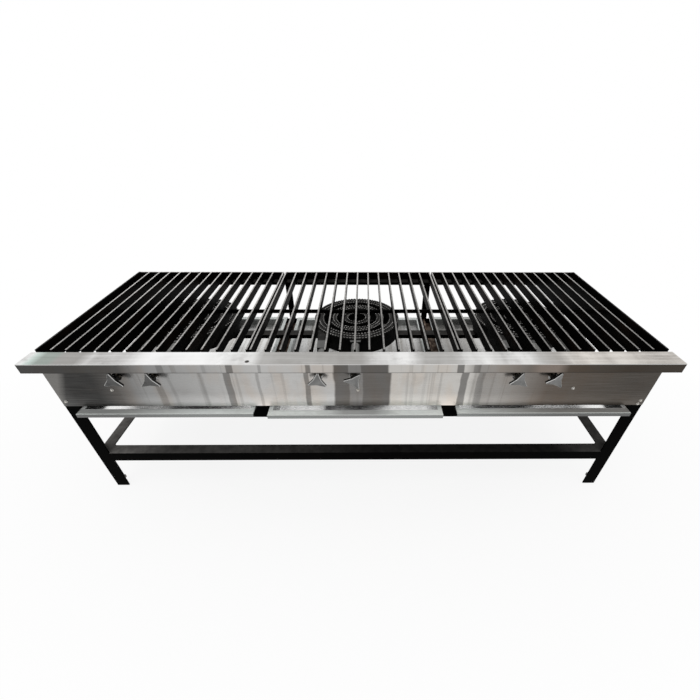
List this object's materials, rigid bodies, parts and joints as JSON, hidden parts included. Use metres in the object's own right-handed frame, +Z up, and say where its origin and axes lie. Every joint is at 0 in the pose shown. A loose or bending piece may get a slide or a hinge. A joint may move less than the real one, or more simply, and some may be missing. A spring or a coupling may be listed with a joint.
{
  "type": "stock pot range",
  "caption": "Low free-standing stock pot range: flat-bar grates over cast ring burners, stainless front with three-point valve handles, slide-out drip trays, angle-iron stand.",
  "frame": {"origin": "on the floor under the middle of the range", "axes": "+X along the width to the right as seen from the front, front faces -Y, +Z up"},
  "size_m": [1.8, 0.66, 0.6],
  "materials": {
    "black_paint": "semi-gloss black paint on rolled angle iron",
    "grate_steel": "black flat bar with worn bright top edges",
    "stainless": "brushed stainless sheet",
    "tray_steel": "galvanised sheet",
    "cast_iron": "sand cast, dark",
    "handle_metal": "cast, lightly polished",
    "brass": "nickel-washed turned brass",
    "zinc_steel": "zinc plated steel"
  },
  "bodies": {
    "frame": {"burner_rail": "black_paint", "burner_rail_hangers": "black_paint", "burners": "cast_iron", "foot_nuts": "zinc_steel", "front_hangers": "black_paint", "front_ledge": "stainless", "front_panel": "stainless", "gas_manifold": "black_paint", "gas_valves": "brass", "leg_front_left": "black_paint", "leg_front_right": "black_paint", "leg_rear_left": "black_paint", "leg_rear_right": "black_paint", "manifold_brackets": "black_paint", "manifold_plug": "black_paint", "orifice_spuds": "brass", "rear_hangers": "black_paint", "stretcher_front": "black_paint", "stretcher_left": "black_paint", "stretcher_rear": "black_paint", "stretcher_right": "black_paint", "top_rail_front": "black_paint", "top_rail_left": "black_paint", "top_rail_rear": "black_paint", "top_rail_right": "black_paint", "tray_rail_center_left": "black_paint", "tray_rail_center_right": "black_paint", "tray_rail_divider_left": "black_paint", "tray_rail_divider_right": "black_paint", "tray_rail_side_left": "black_paint", "tray_rail_side_right": "black_paint"},
    "handle_1": {"valve_handle_1": "handle_metal", "valve_stem_1": "brass"},
    "handle_2": {"valve_handle_2": "handle_metal", "valve_stem_2": "brass"},
    "handle_3": {"valve_handle_3": "handle_metal", "valve_stem_3": "brass"},
    "handle_4": {"valve_handle_4": "handle_metal", "valve_stem_4": "brass"},
    "handle_5": {"valve_handle_5": "handle_metal", "valve_stem_5": "brass"},
    "handle_6": {"valve_handle_6": "handle_metal", "valve_stem_6": "brass"},
    "grate_left_lift": {"grate_left": "grate_steel"},
    "grate_center_lift": {"grate_center": "grate_steel"},
    "grate_right_lift": {"grate_right": "grate_steel"},
    "tray_left": {"drip_tray_left": "tray_steel"},
    "tray_center": {"drip_tray_center": "tray_steel"},
    "tray_right": {"drip_tray_right": "tray_steel"},
    "levelling_foot_front_left": {"levelling_foot_front_left": "zinc_steel"},
    "levelling_foot_front_right": {"levelling_foot_front_right": "zinc_steel"},
    "levelling_foot_rear_left": {"levelling_foot_rear_left": "zinc_steel"},
    "levelling_foot_rear_right": {"levelling_foot_rear_right": "zinc_steel"}
  },
  "joints": [
    {"name": "handle_1_turn", "type": "hinge", "parent": "frame", "child": "handle_1", "pos_m": [-0.693, -0.277, 0.519], "axis": [0, -1, 0], "range_deg": [0, 90]},
    {"name": "handle_2_turn", "type": "hinge", "parent": "frame", "child": "handle_2", "pos_m": [-0.587, -0.277, 0.519], "axis": [0, -1, 0], "range_deg": [0, 90]},
    {"name": "handle_3_turn", "type": "hinge", "parent": "frame", "child": "handle_3", "pos_m": [-0.108, -0.277, 0.519], "axis": [0, -1, 0], "range_deg": [0, 90]},
    {"name": "handle_4_turn", "type": "hinge", "parent": "frame", "child": "handle_4", "pos_m": [-0.002, -0.277, 0.519], "axis": [0, -1, 0], "range_deg": [0, 90]},
    {"name": "handle_5_turn", "type": "hinge", "parent": "frame", "child": "handle_5", "pos_m": [0.477, -0.277, 0.519], "axis": [0, -1, 0], "range_deg": [0, 90]},
    {"name": "handle_6_turn", "type": "hinge", "parent": "frame", "child": "handle_6", "pos_m": [0.583, -0.277, 0.519], "axis": [0, -1, 0], "range_deg": [0, 90]},
    {"name": "grate_left_lift_off", "type": "slide", "parent": "frame", "child": "grate_left_lift", "axis": [0, 0, 1], "range_m": [0, 0.12]},
    {"name": "grate_center_lift_off", "type": "slide", "parent": "frame", "child": "grate_center_lift", "axis": [0, 0, 1], "range_m": [0, 0.12]},
    {"name": "grate_right_lift_off", "type": "slide", "parent": "frame", "child": "grate_right_lift", "axis": [0, 0, 1], "range_m": [0, 0.12]},
    {"name": "tray_left_slide", "type": "slide", "parent": "frame", "child": "tray_left", "axis": [0, -1, 0], "range_m": [0, 0.6]},
    {"name": "tray_center_slide", "type": "slide", "parent": "frame", "child": "tray_center", "axis": [0, -1, 0], "range_m": [0, 0.6]},
    {"name": "tray_right_slide", "type": "slide", "parent": "frame", "child": "tray_right", "axis": [0, -1, 0], "range_m": [0, 0.6]},
    {"name": "levelling_foot_front_left_screw_down", "type": "slide", "parent": "frame", "child": "levelling_foot_front_left", "axis": [0, 0, -1], "range_m": [0, 0.015]},
    {"name": "levelling_foot_front_right_screw_down", "type": "slide", "parent": "frame", "child": "levelling_foot_front_right", "axis": [0, 0, -1], "range_m": [0, 0.015]},
    {"name": "levelling_foot_rear_left_screw_down", "type": "slide", "parent": "frame", "child": "levelling_foot_rear_left", "axis": [0, 0, -1], "range_m": [0, 0.015]},
    {"name": "levelling_foot_rear_right_screw_down", "type": "slide", "parent": "frame", "child": "levelling_foot_rear_right", "axis": [0, 0, -1], "range_m": [0, 0.015]}
  ]
}
